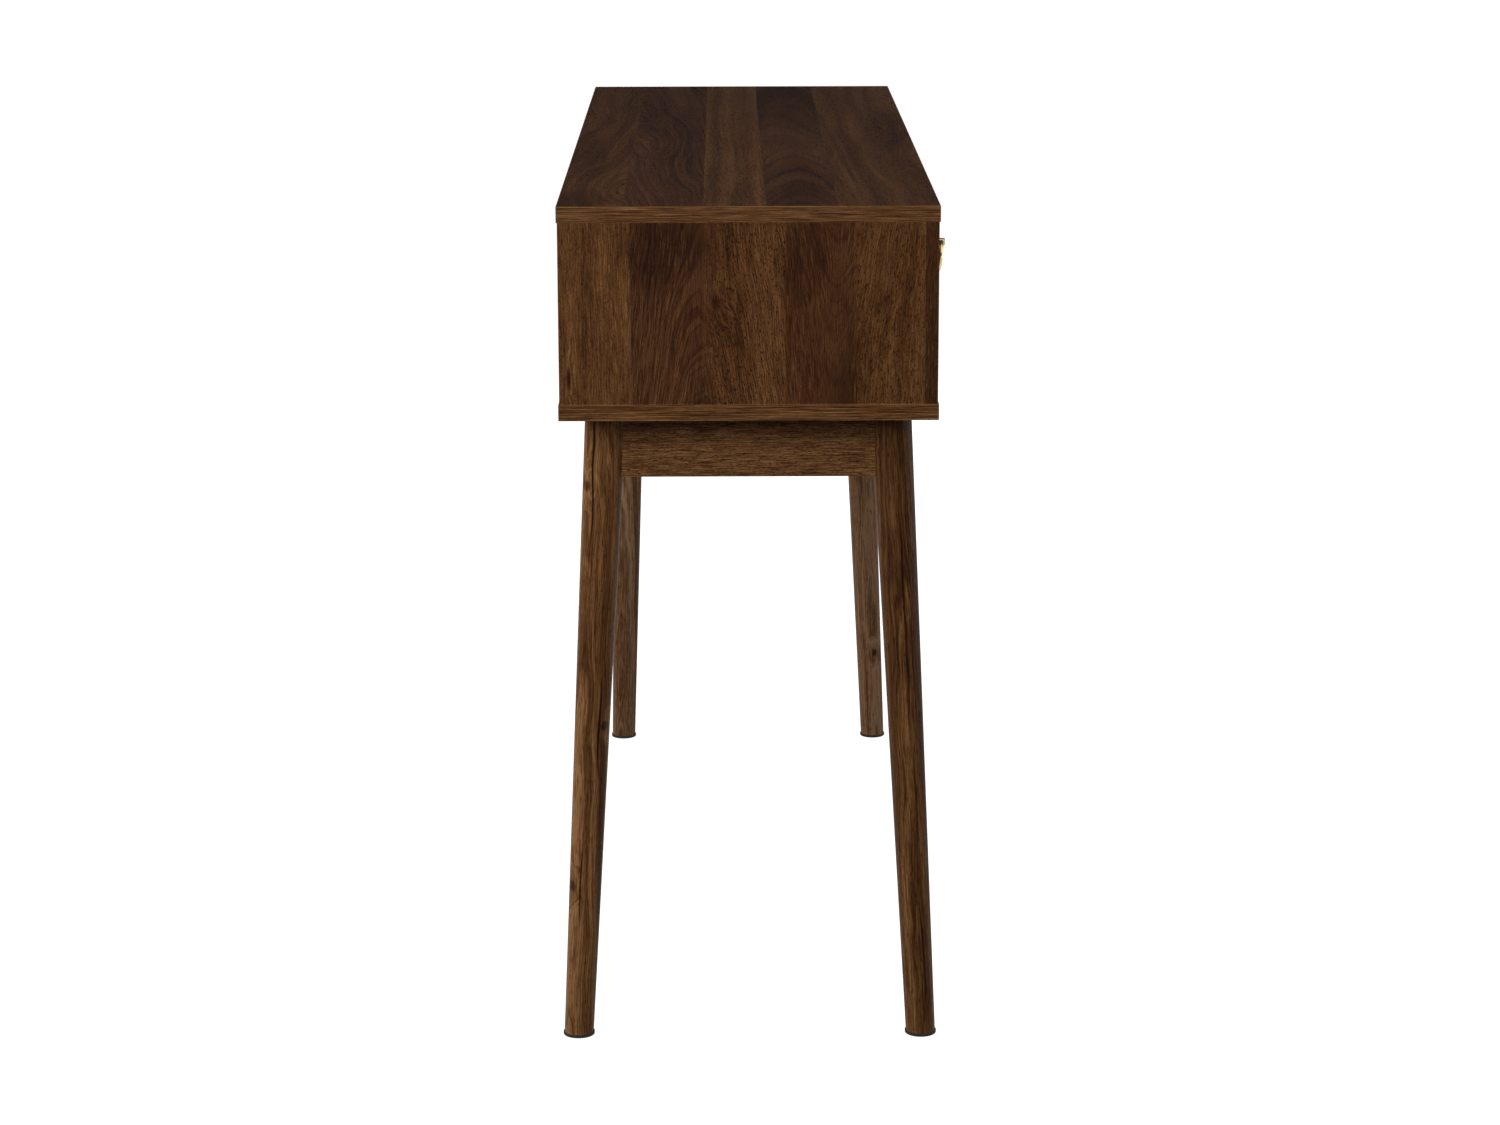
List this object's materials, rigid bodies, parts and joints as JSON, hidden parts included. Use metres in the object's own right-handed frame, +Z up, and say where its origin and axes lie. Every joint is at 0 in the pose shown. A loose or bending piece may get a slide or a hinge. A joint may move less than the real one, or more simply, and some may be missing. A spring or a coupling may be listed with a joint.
{
  "type": "console table",
  "caption": "Narrow walnut-look console table with inset drawers, ring pulls and splayed, tapered round legs on an apron frame.",
  "frame": {"origin": "on the floor, at the centre of the table's bounding box", "axes": "+X along the table to the right as seen by a person at the drawers, -Y the way the drawers open, +Z up"},
  "size_m": [1.1, 0.3746, 0.8],
  "materials": {
    "top_foil": "dark walnut foil, grain along the table",
    "side_foil": "dark walnut foil, grain upright",
    "apron_foil": "dark walnut foil, grain along the apron",
    "leg_wood": "solid wood stained walnut, satin lacquer",
    "drawer_foil": "plain walnut foil",
    "hardboard": "thin hardboard, printed walnut",
    "dowel_wood": "plain beech",
    "brass": "satin lacquered brass",
    "zinc_steel": "bright zinc plate",
    "cam_zinc": "die-cast zinc",
    "runner_plastic": "brown moulded plastic",
    "glide_plastic": "black moulded plastic"
  },
  "bodies": {
    "carcass": {"top_panel": "top_foil", "bottom_panel": "top_foil", "left_side_panel": "side_foil", "right_side_panel": "side_foil", "center_divider": "side_foil", "back_panel": "hardboard", "cam_locks": "cam_zinc", "cam_bolts": "zinc_steel", "wood_dowels": "dowel_wood", "front_apron": "apron_foil", "back_apron": "apron_foil", "left_apron": "apron_foil", "right_apron": "apron_foil", "frame_screws": "zinc_steel", "leg_front_left": "leg_wood", "leg_front_right": "leg_wood", "leg_back_left": "leg_wood", "leg_back_right": "leg_wood", "foot_glide_front_left": "glide_plastic", "foot_glide_front_right": "glide_plastic", "foot_glide_back_left": "glide_plastic", "foot_glide_back_right": "glide_plastic", "corner_bracket_front_left": "zinc_steel", "corner_bracket_front_right": "zinc_steel", "corner_bracket_back_left": "zinc_steel", "corner_bracket_back_right": "zinc_steel", "hanger_bolts": "zinc_steel", "hanger_nuts": "zinc_steel", "bracket_screws": "zinc_steel", "left_drawer_left_runner": "runner_plastic", "left_drawer_right_runner": "runner_plastic", "right_drawer_left_runner": "runner_plastic", "right_drawer_right_runner": "runner_plastic", "runner_screws": "zinc_steel"},
    "left_drawer": {"left_drawer_front": "side_foil", "left_drawer_left_side": "drawer_foil", "left_drawer_right_side": "drawer_foil", "left_drawer_back": "drawer_foil", "left_drawer_bottom": "hardboard", "left_drawer_cam_locks": "cam_zinc", "left_drawer_cam_bolts": "zinc_steel", "left_drawer_screws": "zinc_steel", "left_pull_post": "brass", "left_pull_screw": "zinc_steel"},
    "right_drawer": {"right_drawer_front": "side_foil", "right_drawer_left_side": "drawer_foil", "right_drawer_right_side": "drawer_foil", "right_drawer_back": "drawer_foil", "right_drawer_bottom": "hardboard", "right_drawer_cam_locks": "cam_zinc", "right_drawer_cam_bolts": "zinc_steel", "right_drawer_screws": "zinc_steel", "right_pull_post": "brass", "right_pull_screw": "zinc_steel"},
    "left_ring": {"left_pull_ring": "brass"},
    "right_ring": {"right_pull_ring": "brass"}
  },
  "joints": [
    {"name": "left_drawer_slide", "type": "slide", "parent": "carcass", "child": "left_drawer", "axis": [0, -1, 0], "range_m": [0, 0.24]},
    {"name": "left_ring_hinge", "type": "hinge", "parent": "left_drawer", "child": "left_ring", "pos_m": [-0.27075, -0.18345, 0.7275], "axis": [-1, 0, 0], "range_deg": [-28, 218]},
    {"name": "right_drawer_slide", "type": "slide", "parent": "carcass", "child": "right_drawer", "axis": [0, -1, 0], "range_m": [0, 0.24]},
    {"name": "right_ring_hinge", "type": "hinge", "parent": "right_drawer", "child": "right_ring", "pos_m": [0.27075, -0.18345, 0.7275], "axis": [-1, 0, 0], "range_deg": [-28, 218]}
  ]
}
